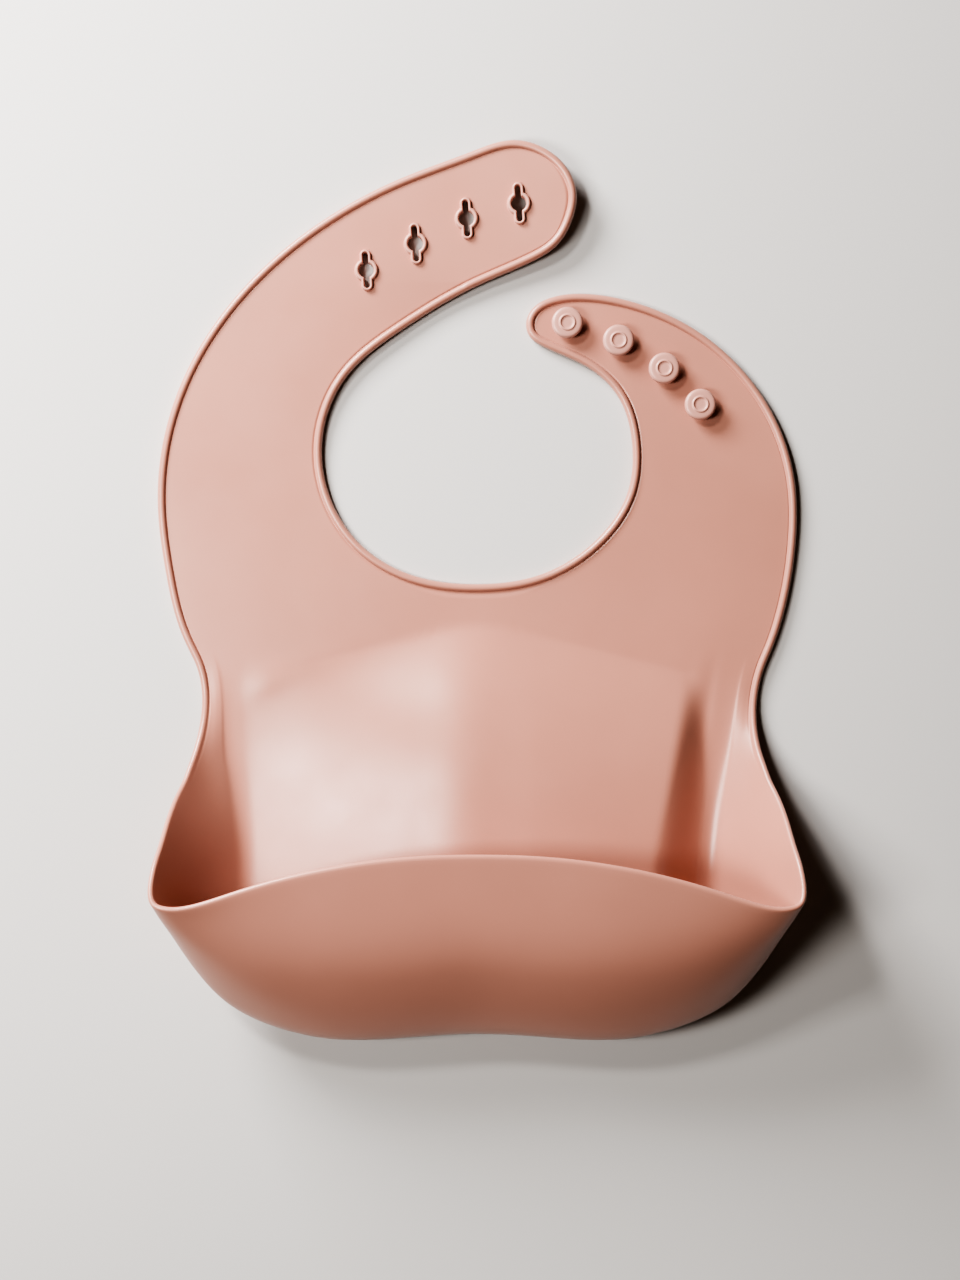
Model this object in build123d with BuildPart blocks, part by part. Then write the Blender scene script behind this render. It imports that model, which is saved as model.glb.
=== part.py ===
from build123d import *
import os
from math import radians, sin, cos

os.makedirs("parts", exist_ok=True)

# Silicone bib with a catch pocket, lying on its back on a table, pocket popped open.
# +Z is up from the table, +Y runs from the pocket towards the straps, +X is the short strap's side.
# The origin is under the middle of the bib's box, on the table. Millimetres throughout.

# ---- driving dimensions ----
reach = 400.0                  # longer than the bib, for blocks that divide it
sheet_thickness = 1.9          # flat silicone sheet
bead_width = 3.0               # rounded edge bead, seen from above
bead_height = 3.0              # edge bead, table to crown
pocket_wall = 1.9              # pocket walls, the same gauge as the sheet

# Bend lines: the silicone flexes there; each is an axis at half the bead's height.
bend_height = bead_height / 2
bend_nose = bead_height / 2    # round end on the fixed side of a bend
bend_gap = 0.8                 # clear space across a bend
shoulder_y = 30.0              # both straps fold over the shoulders along this line
long_bend_point = (-49.0, 97.0)
long_bend_across = 36.0        # degrees, direction across the bend, towards the long tip
short_bend_point = (75.0, 50.0)
short_bend_across = 103.8      # degrees, towards the short tip

# Fastening: buttons on the short strap press into keyholes on the long strap.
button_places = [(29.9, 88.1), (46.9, 82.2), (62.1, 72.9), (74.1, 60.9)]
button_stem_radius = 2.2
button_stem_height = 2.5
button_head_radius = 5.2
button_head_height = 2.2
button_rounding = 0.8
button_ring_outer = 2.7        # plain raised ring on the head
button_ring_inner = 2.1
button_ring_height = 0.3
keyhole_places = [(-37.0, 105.9), (-20.6, 114.7), (-3.6, 122.9), (13.8, 127.6)]
keyhole_lean = 4.0             # degrees, top of the slot leans towards -X
keyhole_radius = 2.5
keyhole_slot_width = 1.8
keyhole_slot_length = 11.9
collar_wall = 0.95             # beside the slot
collar_ring_radius = 3.85      # outside of the collar round the hole
collar_height = 3.2            # collar, table to crown

# Pocket
side_end_y = -40.0             # the flat side edge ends here and the gusset rises
gusset_end_y = -92.0           # gusset meets the rounded corner
front_half_width = 75.0        # front wall between the two corners
corner_gap = 0.4               # between the front wall's ends and the corners
pocket_axis_y = -134.0         # the front wall rocks about this line, inside the rounded base
pocket_axis_z = 8.0
pocket_base_radius = 16.0
pocket_base_gap = 0.5

# ---- outline of the flat sheet ----
# Outer edge of the long strap, from its tip to the left side.
long_outer = [
    (31.9, 123.0), (33.0, 131.1), (30.2, 138.6), (24.2, 144.6), (12.0, 148.6), (-1.4, 145.3),
    (-26.5, 136.2), (-55.3, 120.2), (-80.9, 97.1), (-97.0, 72.8), (-105.0, 49.0),
    (-106.8, 28.0), (-104.2, 5.4), (-98.4, -16.5), (-91.7, -31.9), (-90.2, -41.0),
]
# Neck edge, from the long strap's tip round the opening to the short strap's tip.
neck_edge = [
    (31.9, 123.0), (26.5, 113.8), (17.8, 108.4), (-2.0, 99.8), (-25.9, 85.6), (-43.8, 70.2),
    (-51.7, 49.7), (-50.2, 33.6), (-39.4, 15.1), (-19.4, 3.7), (0.0, 1.4), (19.4, 4.0),
    (39.4, 15.8), (50.2, 32.0), (51.8, 46.7), (46.7, 64.3), (36.0, 74.2), (22.1, 80.6),
    (17.2, 84.4), (16.3, 89.0),
]
# Outer edge of the short strap, from its tip to the right side.
short_outer = [
    (16.3, 89.0), (18.6, 93.6), (25.0, 97.2), (36.8, 98.3), (55.3, 94.6), (73.0, 86.3),
    (88.4, 73.2), (99.9, 56.1), (106.0, 36.3), (106.6, 17.0), (103.3, -5.4), (97.5, -23.1),
    (93.0, -34.0), (91.6, -41.0),
]
side_bead_x = 70.0             # beads further out than this run along the sides
back_inset = 1.0               # the wall's foot reaches this far in over the pocket back's edge
back_samples = 60
border_samples = 200           # points of the bead's inner border
skirt_y = -60.0                # the outline runs on to here and is trimmed at side_end_y

# ---- outside of the pocket at seven heights, right half, from the gusset round to the front ----
pocket_levels = [
    (0.0, [(89, -34), (84.5, -50), (81, -70), (79, -90), (77.5, -108), (72.5, -121), (64, -129),
           (50, -134.5), (33, -136), (0, -134.5)]),
    (5.0, [(98, -34), (93, -50), (87.5, -70), (84.5, -90), (84, -110), (79, -125.5), (69, -135),
           (52, -141), (34, -142.8), (0, -141.5)]),
    (12.0, [(106, -34), (100, -50), (94.5, -70), (91, -90), (91, -111), (85, -130), (73.5, -141),
            (54, -147.4), (35, -148.7), (0, -146.8)]),
    (22.0, [(112, -34), (108, -50), (101.5, -70), (97.5, -90), (97.2, -109), (92.5, -123),
            (80, -133.5), (60, -140.5), (36, -142.5), (0, -140.5)]),
    (33.0, [(118, -34), (113, -50), (107, -70), (102.5, -88), (101.3, -104.5), (95, -114),
            (80, -122), (60, -126.5), (35, -127.5), (0, -125.5)]),
    (40.0, [(120.5, -34), (116, -50), (110, -70), (105, -88), (102.8, -101.5), (95, -107.5),
            (79, -109.5), (59, -109.5), (34.5, -108.5), (0, -106.5)]),
    (44.0, [(122, -34), (118, -50), (111.5, -70), (106, -88), (103, -99.3), (94, -102),
            (78, -97.5), (58, -91.5), (34, -87), (0, -85)]),
]
# Height of the gusset's rim along Y, from the flat side edge down to the corner.
rim_profile = [
    (-40.0, 2.4), (-54.0, 6.6), (-66.0, 14.2), (-80.0, 27.7), (-90.0, 36.8), (-95.5, 40.2),
    (-100.5, 42.6), (-104.0, 45.0),
]
# The mouth, seen from above: behind this line nothing stands higher than the gusset's rim.
mouth_line = [(0, -83.5), (34, -85.5), (58, -90), (78, -96), (94, -100.4), (104, -100.6)]

# ---- outline curves: the bib's edge, and the inner border of its bead ----
def inset(curve, distance, samples):
    """Curve at an even distance to the right of another one."""
    points = []
    for i in range(samples + 1):
        ahead = curve.tangent_at(i / samples)
        points.append(curve @ (i / samples) + Vector(ahead.Y, -ahead.X) * distance)
    return Spline(*points)


edge_points = list(reversed(long_outer)) + neck_edge[1:] + short_outer[1:]
with BuildLine(mode=Mode.PRIVATE):
    edge_curve = Spline(*edge_points)
    bead_border = inset(edge_curve, bead_width, border_samples)


def closing_lines(left_end, right_end):
    """Three lines that close an outline below the side edges."""
    Line(left_end, (left_end.X, skirt_y))
    Line((left_end.X, skirt_y), (right_end.X, skirt_y))
    Line((right_end.X, skirt_y), right_end)


with BuildSketch() as flat_outline:
    with BuildLine():
        add(edge_curve)
        closing_lines(edge_curve @ 0, edge_curve @ 1)
    make_face()

with BuildSketch() as sheet_outline:
    with BuildLine():
        add(bead_border)
        closing_lines(bead_border @ 0, bead_border @ 1)
    make_face()

with BuildSketch() as bead_outline:
    add(flat_outline.sketch)
    add(sheet_outline.sketch, mode=Mode.SUBTRACT)
    with Locations((0, side_end_y)):
        Rectangle(reach, reach, align=(Align.CENTER, Align.MAX), mode=Mode.SUBTRACT)

with BuildSketch() as upper_outline:
    add(sheet_outline.sketch)
    with Locations((0, side_end_y)):
        Rectangle(reach, reach, align=(Align.CENTER, Align.MAX), mode=Mode.SUBTRACT)

with BuildPart() as flat_bead:
    add(bead_outline.sketch)
    extrude(amount=bead_height)

with BuildPart() as flat_sheet:
    add(upper_outline.sketch)
    extrude(amount=sheet_thickness)

# ---- how the flat pieces are divided at the bends ----
shoulder_plane = Plane(origin=(0, shoulder_y, bend_height), x_dir=(0, 1, 0), z_dir=(0, 0, 1))


def bend_plane(point, degrees):
    """Plane on a bend line, its X axis pointing from the fixed side to the free side."""
    across = (cos(radians(degrees)), sin(radians(degrees)), 0)
    return Plane(origin=(*point, bend_height), x_dir=across, z_dir=(0, 0, 1))


long_plane = bend_plane(long_bend_point, long_bend_across)
short_plane = bend_plane(short_bend_point, short_bend_across)


def bend_cylinder(plane, radius, mode):
    """Cylinder along a bend's axis."""
    with BuildSketch(Plane(origin=plane.origin, x_dir=plane.x_dir, z_dir=-plane.y_dir)) as circle:
        Circle(radius)
    extrude(circle.sketch, amount=reach / 2, both=True, mode=mode)


def half_space(plane, side, mode):
    """Block on the free side (+1) or the fixed side (-1) of a bend."""
    face_align = Align.MIN if side > 0 else Align.MAX
    with BuildSketch(plane) as block:
        Rectangle(reach, reach, align=(face_align, Align.CENTER))
    extrude(block.sketch, amount=reach / 2, both=True, mode=mode)


# The two straps part in the gap between their tips.
gap_line = [(0, shoulder_y - 20), (12, 60), (12, 103), (60, 103), (60, 200)]
with BuildSketch() as long_side:
    with BuildLine():
        Polyline(*gap_line, (-200, 200), (-200, shoulder_y - 20), close=True)
    make_face()
with BuildSketch() as short_side:
    with BuildLine():
        Polyline(*gap_line, (200, 200), (200, shoulder_y - 20), close=True)
    make_face()

with BuildPart() as panel_space:
    half_space(shoulder_plane, -1, Mode.ADD)
    bend_cylinder(shoulder_plane, bend_nose, Mode.ADD)


def root_space(side_sketch, plane):
    """Space of a strap from the shoulder line to its second bend, round end included."""
    with BuildPart() as space:
        half_space(plane, -1, Mode.ADD)
        bend_cylinder(plane, bend_nose, Mode.ADD)
        half_space(shoulder_plane, 1, Mode.INTERSECT)
        bend_cylinder(shoulder_plane, bend_nose + bend_gap, Mode.SUBTRACT)
        extrude(side_sketch, amount=reach / 2, both=True, mode=Mode.INTERSECT)
    return space.part


def end_space(side_sketch, plane):
    """Space of a strap beyond its second bend."""
    with BuildPart() as space:
        half_space(plane, 1, Mode.ADD)
        bend_cylinder(plane, bend_nose + bend_gap, Mode.SUBTRACT)
        extrude(side_sketch, amount=reach / 2, both=True, mode=Mode.INTERSECT)
    return space.part


long_root_space = root_space(long_side.sketch, long_plane)
long_end_space = end_space(long_side.sketch, long_plane)
short_root_space = root_space(short_side.sketch, short_plane)
short_end_space = end_space(short_side.sketch, short_plane)


def keep(space):
    """Trim the piece being built to a space."""
    add(space, mode=Mode.INTERSECT)


# ---- pocket: the outside as a loft, hollowed to an even wall ----
with BuildPart() as pocket_outside:
    for height, right_half in pocket_levels:
        left_half = [(-x, y) for x, y in right_half[:-1]]
        level_points = left_half + list(reversed(right_half))
        with BuildSketch(Plane.XY.offset(height)):
            with BuildLine():
                Spline(*level_points)
                Line(level_points[-1], level_points[0])
            make_face()
    loft()

foot_right = pocket_levels[0][1]
foot_points = list(foot_right) + [(-x, y) for x, y in reversed(foot_right[:-1])]
with BuildSketch() as back_outline:
    with BuildLine():
        back_border = inset(Spline(*foot_points, mode=Mode.PRIVATE), back_inset, back_samples)
        Line(back_border @ 1, back_border @ 0)
    make_face()
    with Locations((0, side_end_y)):
        Rectangle(reach, reach, align=(Align.CENTER, Align.MIN), mode=Mode.SUBTRACT)

with BuildPart() as pocket_inside:
    add(pocket_outside.part)
    offset(amount=-pocket_wall)
    extrude(pocket_inside.faces().sort_by(Axis.Z)[-1], amount=2 * pocket_wall)

with BuildPart() as above_rim:
    with BuildSketch(Plane.YZ):
        with BuildLine():
            Spline(*rim_profile)
            Polyline(rim_profile[-1], (rim_profile[-1][0], 80), (rim_profile[0][0] + 20, 80),
                     (rim_profile[0][0] + 20, rim_profile[0][1]), rim_profile[0])
        make_face()
    extrude(amount=reach / 2, both=True)
    with BuildSketch() as mouth:
        with BuildLine():
            mouth_left = [(-x, y) for x, y in reversed(mouth_line[1:])]
            Polyline((-reach / 2, mouth_line[-1][1]), *mouth_left, *mouth_line,
                     (reach / 2, mouth_line[-1][1]), (reach / 2, 0), (-reach / 2, 0), close=True)
        make_face()
    extrude(mouth.sketch, amount=reach / 2, mode=Mode.INTERSECT)

with BuildPart() as pocket_shell:
    add(pocket_outside.part)
    add(pocket_inside.part, mode=Mode.SUBTRACT)
    add(above_rim.part, mode=Mode.SUBTRACT)
    with BuildSketch():
        with Locations((0, side_end_y)):
            Rectangle(reach, reach, align=(Align.CENTER, Align.MIN))
    extrude(amount=reach / 4, mode=Mode.SUBTRACT)

# ---- chest panel and pocket back: flat sheet on the table ----
with BuildPart() as chest_panel:
    add(flat_sheet.part)
    keep(panel_space.part)

with BuildPart() as pocket_back:
    extrude(back_outline.sketch, amount=sheet_thickness)

# ---- pocket walls: two gussets, two corners, the rounded base and the front wall ----
base_plane = Plane(origin=(0, pocket_axis_y, pocket_axis_z), x_dir=(0, 1, 0), z_dir=(0, 0, 1))
with BuildPart() as pocket_walls:
    add(pocket_shell.part)
    extrude(back_outline.sketch, amount=2 * sheet_thickness, both=True, mode=Mode.SUBTRACT)


def side_block(inner_x, near_y, far_y):
    """Block beside the front wall, on the right, between two values of Y."""
    with BuildPart() as block:
        with BuildSketch():
            with Locations((inner_x, near_y)):
                Rectangle(reach, near_y - far_y, align=(Align.MIN, Align.MAX))
        extrude(amount=reach / 4)
    return block.part


corner_inner_x = front_half_width + corner_gap
gusset_block = side_block(corner_inner_x, side_end_y, gusset_end_y)
corner_block = side_block(corner_inner_x, gusset_end_y, gusset_end_y - reach)

with BuildPart() as right_gusset:
    add(pocket_walls.part)
    keep(gusset_block)
with BuildPart() as left_gusset:
    mirror(right_gusset.part, about=Plane.YZ)
with BuildPart() as right_pocket_corner:
    add(pocket_walls.part)
    keep(corner_block)
with BuildPart() as left_pocket_corner:
    mirror(right_pocket_corner.part, about=Plane.YZ)

with BuildPart() as pocket_base:
    add(pocket_walls.part)
    with BuildSketch():
        Rectangle(2 * front_half_width, reach)
    extrude(amount=reach / 4, mode=Mode.INTERSECT)
    bend_cylinder(base_plane, pocket_base_radius, Mode.INTERSECT)

with BuildPart() as pocket_front_wall:
    add(pocket_walls.part)
    with BuildSketch(Plane.XY.offset(pocket_axis_z)):
        Rectangle(2 * front_half_width, reach)
    extrude(amount=reach / 4, mode=Mode.INTERSECT)
    bend_cylinder(base_plane, pocket_base_radius + pocket_base_gap, Mode.SUBTRACT)

# ---- edge bead of the panel: neck, left side and right side ----
with BuildPart() as neck_bead:
    add(flat_bead.part)
    keep(panel_space.part)
    with BuildSketch():
        Rectangle(2 * side_bead_x, reach)
    extrude(amount=reach / 4, mode=Mode.INTERSECT)

with BuildPart() as right_side_bead:
    add(flat_bead.part)
    keep(panel_space.part)
    with BuildSketch():
        with Locations((side_bead_x, 0)):
            Rectangle(reach, reach, align=(Align.MIN, Align.CENTER))
    extrude(amount=reach / 4, mode=Mode.INTERSECT)

with BuildPart() as left_side_bead:
    add(flat_bead.part)
    keep(panel_space.part)
    with BuildSketch():
        with Locations((-side_bead_x, 0)):
            Rectangle(reach, reach, align=(Align.MAX, Align.CENTER))
    extrude(amount=reach / 4, mode=Mode.INTERSECT)

# ---- straps: each has a root over the shoulder and an end beyond the second bend ----
with BuildPart() as long_strap_root:
    add(flat_sheet.part)
    keep(long_root_space)
with BuildPart() as short_strap_root:
    add(flat_sheet.part)
    keep(short_root_space)
with BuildPart() as long_root_beads:
    add(flat_bead.part)
    keep(long_root_space)
with BuildPart() as short_root_beads:
    add(flat_bead.part)
    keep(short_root_space)
with BuildPart() as long_end_bead:
    add(flat_bead.part)
    keep(long_end_space)
with BuildPart() as short_end_bead:
    add(flat_bead.part)
    keep(short_end_space)
with BuildPart() as short_strap_end:
    add(flat_sheet.part)
    keep(short_end_space)


def keyhole_sketch(round_radius, slot_growth):
    """Keyhole outlines: a round hole with a slot across it, the slot grown outwards by some amount."""
    with BuildSketch() as outline:
        for place in keyhole_places:
            with Locations(Location(place, keyhole_lean)):
                Circle(round_radius)
                SlotOverall(keyhole_slot_length + 2 * slot_growth, keyhole_slot_width + 2 * slot_growth,
                            rotation=90)
    return outline.sketch


# Long strap's end: the sheet has keyhole windows, each edged by its raised collar.
with BuildPart() as long_strap_end:
    add(flat_sheet.part)
    keep(long_end_space)
    extrude(keyhole_sketch(collar_ring_radius, collar_wall), amount=sheet_thickness, mode=Mode.SUBTRACT)

with BuildPart() as keyhole_collars:
    extrude(keyhole_sketch(collar_ring_radius, collar_wall), amount=collar_height)
    extrude(keyhole_sketch(keyhole_radius, 0), amount=collar_height, mode=Mode.SUBTRACT)

pieces = {
    "chest_panel": chest_panel, "pocket_back": pocket_back, "pocket_base": pocket_base,
    "pocket_front_wall": pocket_front_wall, "left_gusset": left_gusset,
    "right_gusset": right_gusset, "left_pocket_corner": left_pocket_corner,
    "right_pocket_corner": right_pocket_corner, "neck_bead": neck_bead,
    "left_side_bead": left_side_bead, "right_side_bead": right_side_bead,
    "long_strap_root": long_strap_root, "long_strap_end": long_strap_end,
    "long_end_bead": long_end_bead, "short_strap_root": short_strap_root,
    "short_strap_end": short_strap_end, "short_end_bead": short_end_bead,
}
for name, piece in pieces.items():
    piece.part.label = name
    export_step(piece.part, f"parts/{name}.step")

# The two beads of each strap root, the neck side first.
for strap, beads in (("long", long_root_beads), ("short", short_root_beads)):
    for side, bead in zip(("neck", "outer"), beads.part.solids().sort_by(SortBy.VOLUME)):
        bead.label = f"{strap}_root_{side}_bead"
        export_step(bead, f"parts/{bead.label}.step")

# One collar a keyhole, numbered from the strap's root to its tip.
for number, collar in enumerate(keyhole_collars.part.solids().sort_by(Axis.X), start=1):
    collar.label = f"keyhole_collar_{number}"
    export_step(collar, f"parts/{collar.label}.step")

# ---- buttons: a stem on the short strap and a flat round head with a plain raised ring ----
head_base = sheet_thickness + button_stem_height
head_top = head_base + button_head_height
for number, place in enumerate(button_places, start=1):
    with BuildPart() as button:
        with BuildSketch(Plane((*place, sheet_thickness))):
            Circle(button_stem_radius)
        extrude(amount=button_stem_height)
        with BuildSketch(Plane((*place, head_base))):
            Circle(button_head_radius)
        extrude(amount=button_head_height)
        fillet(button.edges().filter_by(GeomType.CIRCLE).sort_by(Axis.Z)[-1], radius=button_rounding)
        with BuildSketch(Plane((*place, head_top))):
            Circle(button_ring_outer)
            Circle(button_ring_inner, mode=Mode.SUBTRACT)
        extrude(amount=button_ring_height)
    button.part.label = f"button_{number}"
    export_step(button.part, f"parts/button_{number}.step")
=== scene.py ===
import math

import bmesh
import bpy
import numpy as np
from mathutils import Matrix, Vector


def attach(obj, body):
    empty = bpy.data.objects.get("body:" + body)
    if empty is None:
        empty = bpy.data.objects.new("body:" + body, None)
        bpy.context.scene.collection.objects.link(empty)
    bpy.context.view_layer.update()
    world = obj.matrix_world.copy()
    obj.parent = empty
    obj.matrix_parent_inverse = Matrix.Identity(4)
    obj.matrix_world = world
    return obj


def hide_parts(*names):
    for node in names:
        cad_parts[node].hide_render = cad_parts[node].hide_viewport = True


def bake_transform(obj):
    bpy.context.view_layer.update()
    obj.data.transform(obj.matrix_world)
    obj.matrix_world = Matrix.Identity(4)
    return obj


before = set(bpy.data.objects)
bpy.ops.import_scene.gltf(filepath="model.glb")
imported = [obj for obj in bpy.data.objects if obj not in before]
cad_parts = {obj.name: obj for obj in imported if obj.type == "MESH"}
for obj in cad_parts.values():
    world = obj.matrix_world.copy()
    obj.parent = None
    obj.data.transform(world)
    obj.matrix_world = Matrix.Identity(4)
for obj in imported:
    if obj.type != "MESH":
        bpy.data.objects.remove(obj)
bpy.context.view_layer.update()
mm = 0.001


# ---------------------------------------------------------------------------
# Chest panel and catch pocket: the body of the bib, about 2 mm of pink silicone moulded in one
# piece with the straps, with a rounded bead round its flat edge. The sheet is laid out as ribs:
# lines that cross it from the neck edge to the outer edge, or on to the pocket's rim.
# ---------------------------------------------------------------------------
sheet_thickness = 1.9 * mm
half_sheet = sheet_thickness / 2
bead_width = 3.0 * mm

# Edge of the flat sheet: left side up to the long strap's tip, round the neck and
# the short strap's tip, and down the right side.
edge_points = mm * np.array([
    (-90.2, -41.0), (-91.7, -31.9), (-98.4, -16.5), (-104.2, 5.4), (-106.8, 28.0),
    (-105.0, 49.0), (-97.0, 72.8), (-80.9, 97.1), (-55.3, 120.2), (-26.5, 136.2),
    (-1.4, 145.3), (12.0, 148.6), (24.2, 144.6), (30.2, 138.6), (33.0, 131.1),
    (31.9, 123.0), (26.5, 113.8), (17.8, 108.4), (-2.0, 99.8), (-25.9, 85.6),
    (-43.8, 70.2), (-51.7, 49.7), (-50.2, 33.6), (-39.4, 15.1), (-19.4, 3.7),
    (0.0, 1.4), (19.4, 4.0), (39.4, 15.8), (50.2, 32.0), (51.8, 46.7),
    (46.7, 64.3), (36.0, 74.2), (22.1, 80.6), (17.2, 84.4), (16.3, 89.0),
    (18.6, 93.6), (25.0, 97.2), (36.8, 98.3), (55.3, 94.6), (73.0, 86.3),
    (88.4, 73.2), (99.9, 56.1), (106.0, 36.3), (106.6, 17.0), (103.3, -5.4),
    (97.5, -23.1), (93.0, -34.0), (91.6, -41.0),
])
# Outside of the pocket walls at seven heights, right half, from the gusset round to the middle
# of the front. Points with the same place in each list lie one above the other.
wall_levels = mm * np.array([0.0, 5.0, 12.0, 22.0, 33.0, 40.0, 44.0])
wall_outlines = mm * np.array([
    [(89, -34), (84.5, -50), (81, -70), (79, -90), (77.5, -108), (72.5, -121), (64, -129),
     (50, -134.5), (33, -136), (0, -134.5)],
    [(98, -34), (93, -50), (87.5, -70), (84.5, -90), (84, -110), (79, -125.5), (69, -135),
     (52, -141), (34, -142.8), (0, -141.5)],
    [(106, -34), (100, -50), (94.5, -70), (91, -90), (91, -111), (85, -130), (73.5, -141),
     (54, -147.4), (35, -148.7), (0, -146.8)],
    [(112, -34), (108, -50), (101.5, -70), (97.5, -90), (97.2, -109), (92.5, -123),
     (80, -133.5), (60, -140.5), (36, -142.5), (0, -140.5)],
    [(118, -34), (113, -50), (107, -70), (102.5, -88), (101.3, -104.5), (95, -114),
     (80, -122), (60, -126.5), (35, -127.5), (0, -125.5)],
    [(120.5, -34), (116, -50), (110, -70), (105, -88), (102.8, -101.5), (95, -107.5),
     (79, -109.5), (59, -109.5), (34.5, -108.5), (0, -106.5)],
    [(122, -34), (118, -50), (111.5, -70), (106, -88), (103, -99.3), (94, -102),
     (78, -97.5), (58, -91.5), (34, -87), (0, -85)]])
# Height of the gusset's rim along Y, from the flat side edge down to the corner.
rim_heights = mm * np.array([
    (-30.0, 1.9), (-40.0, 2.4), (-54.0, 6.6), (-66.0, 14.2), (-80.0, 27.7), (-90.0, 36.8),
    (-95.5, 40.2), (-100.5, 42.6), (-104.0, 44.0)])


def curve_through(points, count):
    """Smooth curve through points: a natural cubic spline on the chord lengths, its second
    derivatives from one small linear system, read at evenly spaced arc lengths."""
    points = np.asarray(points, float)
    knots = np.concatenate([[0], np.cumsum(np.linalg.norm(np.diff(points, axis=0), axis=1))])
    gaps = np.diff(knots)
    n = len(points)
    system = np.eye(n)
    right = np.zeros_like(points)
    inner = np.arange(1, n - 1)
    system[inner, inner - 1] = gaps[:-1]
    system[inner, inner] = 2 * (gaps[:-1] + gaps[1:])
    system[inner, inner + 1] = gaps[1:]
    slopes = np.diff(points, axis=0) / gaps[:, None]
    right[1:-1] = 6 * np.diff(slopes, axis=0)
    bends = np.linalg.solve(system, right)

    def at(t):
        k = np.clip(np.searchsorted(knots, t, side="right") - 1, 0, n - 2)
        h = gaps[k][:, None]
        a = ((knots[k + 1] - t)[:, None]) / h
        b = 1 - a
        return (a * points[k] + b * points[k + 1]
                + ((a**3 - a) * bends[k] + (b**3 - b) * bends[k + 1]) * h * h / 6)

    fine = np.linspace(0, knots[-1], count * 8)
    path = at(fine)
    length = np.concatenate([[0], np.cumsum(np.linalg.norm(np.diff(path, axis=0), axis=1))])
    return at(np.interp(np.linspace(0, length[-1], count), length, fine))


def unit(v):
    """Vectors brought to length one."""
    return v / np.maximum(np.linalg.norm(v, axis=-1, keepdims=True), 1e-12)


# The bead's inner border lies a bead's width inside the edge, square to it.
edge = curve_through(edge_points, 6001)
edge_run = unit(np.gradient(edge, axis=0))
border = edge + bead_width * np.stack([edge_run[:, 1], -edge_run[:, 0]], axis=1)


def border_index(x, y):
    """Place on the edge nearest to a point given in millimetres."""
    return float(np.argmin(np.hypot(edge[:, 0] - x * mm, edge[:, 1] - y * mm)))


def border_at(index):
    """Points of the bead's inner border at places along the edge."""
    index = np.asarray(index, float)
    steps = np.arange(len(border))
    return np.stack([np.interp(index, steps, border[:, 0]), np.interp(index, steps, border[:, 1])], -1)


# The lower panel's shallow arch, which the popped pocket gives it. Shares run from 0 on the middle
# line to 1 at arch_half_width.
arch_height = 13.5 * mm
arch_half_width = 79.0 * mm
arch_top_y = -10 * mm              # the fold that starts it, on the middle line
arch_run = 27 * mm                 # length over which it comes up
fold_slant = 0.26                  # the fold falls this much for each unit to the side
ridge_rounding = 0.02
ridge_share = 0.86                 # height of the rounded ridge before it is brought back to 1
toe_share = 0.1                    # the left foot runs out softly
right_sag = 0.18                   # loss of height from the ridge to the right shoulder
drop_top = (0.86, 0.72)            # where the right shoulder drops, at drop_y
drop_y = (-35 * mm, -92 * mm)
drop_foot = 0.97
deep_y, deep_run = -131 * mm, 34 * mm        # it dies out under the front wall
crease_height = 0.5 * mm           # short crease beside the left end of the fold
crease_width, crease_length = 5 * mm, 24 * mm


def eased(share):
    """Share from 0 to 1 with soft ends: three times its square less twice its cube."""
    share = np.clip(share, 0, 1)
    return share * share * (3 - 2 * share)


def tent(x, y):
    """Rise of the lower panel: an arch between the pocket's creases, with an even slope on the
    left and a drop beside the right crease that widens towards the pocket. It begins at a soft
    fold below the neck, and dies out under the front wall."""
    place = x / arch_half_width
    left = np.clip(1 - np.sqrt(place * place + ridge_rounding), 0, None) / ridge_share
    left = (1 + toe_share) * left * left / (left + toe_share)
    drop_from = np.interp(-y, -np.array(drop_y), drop_top)
    right = (1 - right_sag * place * place) * (
        1 - eased((place - drop_from) / (drop_foot - drop_from)))
    crosswise = left + (right - left) * eased(place / 0.5 + 0.5)
    fold_y = arch_top_y - fold_slant * np.sqrt(x * x + (8 * mm) ** 2)
    grow = 1 - np.exp(-np.clip((fold_y - y) / arch_run, 0, None) ** 1.3)
    deep = eased((y - deep_y) / deep_run)
    along = (x * 0.94 + y * 0.34) + 82 * mm
    off = -x * 0.34 + (y + 28 * mm) * 0.94 - 21 * mm
    crease = crease_height * np.exp(-(off / crease_width) ** 2 - (along / crease_length) ** 2)
    return arch_height * grow * deep * crosswise + crease


tip_rise = 6.0 * mm                # spring of the long strap's tip
spring_length = 98 * mm            # from the table to the tip, along the strap
wave_height = 0.28 * mm


def lift(x, y):
    """Rise of the long strap's end, which springs a little off the table towards its tip, and a
    very shallow waviness of the straps, as soft silicone lies."""
    s = np.clip(((x + 49 * mm) * 0.81 + (y - 97 * mm) * 0.58 + 12 * mm) / spring_length, 0, None)
    on_long = np.clip((y - 90 * mm - 0.3 * np.clip(x, 0, None)) / (12 * mm), 0, 1)
    wave = np.sin(x / (17 * mm) + 1.3) * np.sin(y / (21 * mm) + 0.4) + np.sin((x + y) / (34 * mm))
    high_up = eased((y - 2 * mm) / (40 * mm))
    return tip_rise * s ** 2.6 * on_long + wave_height * (wave + 2) * high_up


def settle(x, y):
    """Height of the sheet's underside above the table."""
    return tent(x, y) + lift(x, y)


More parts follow.
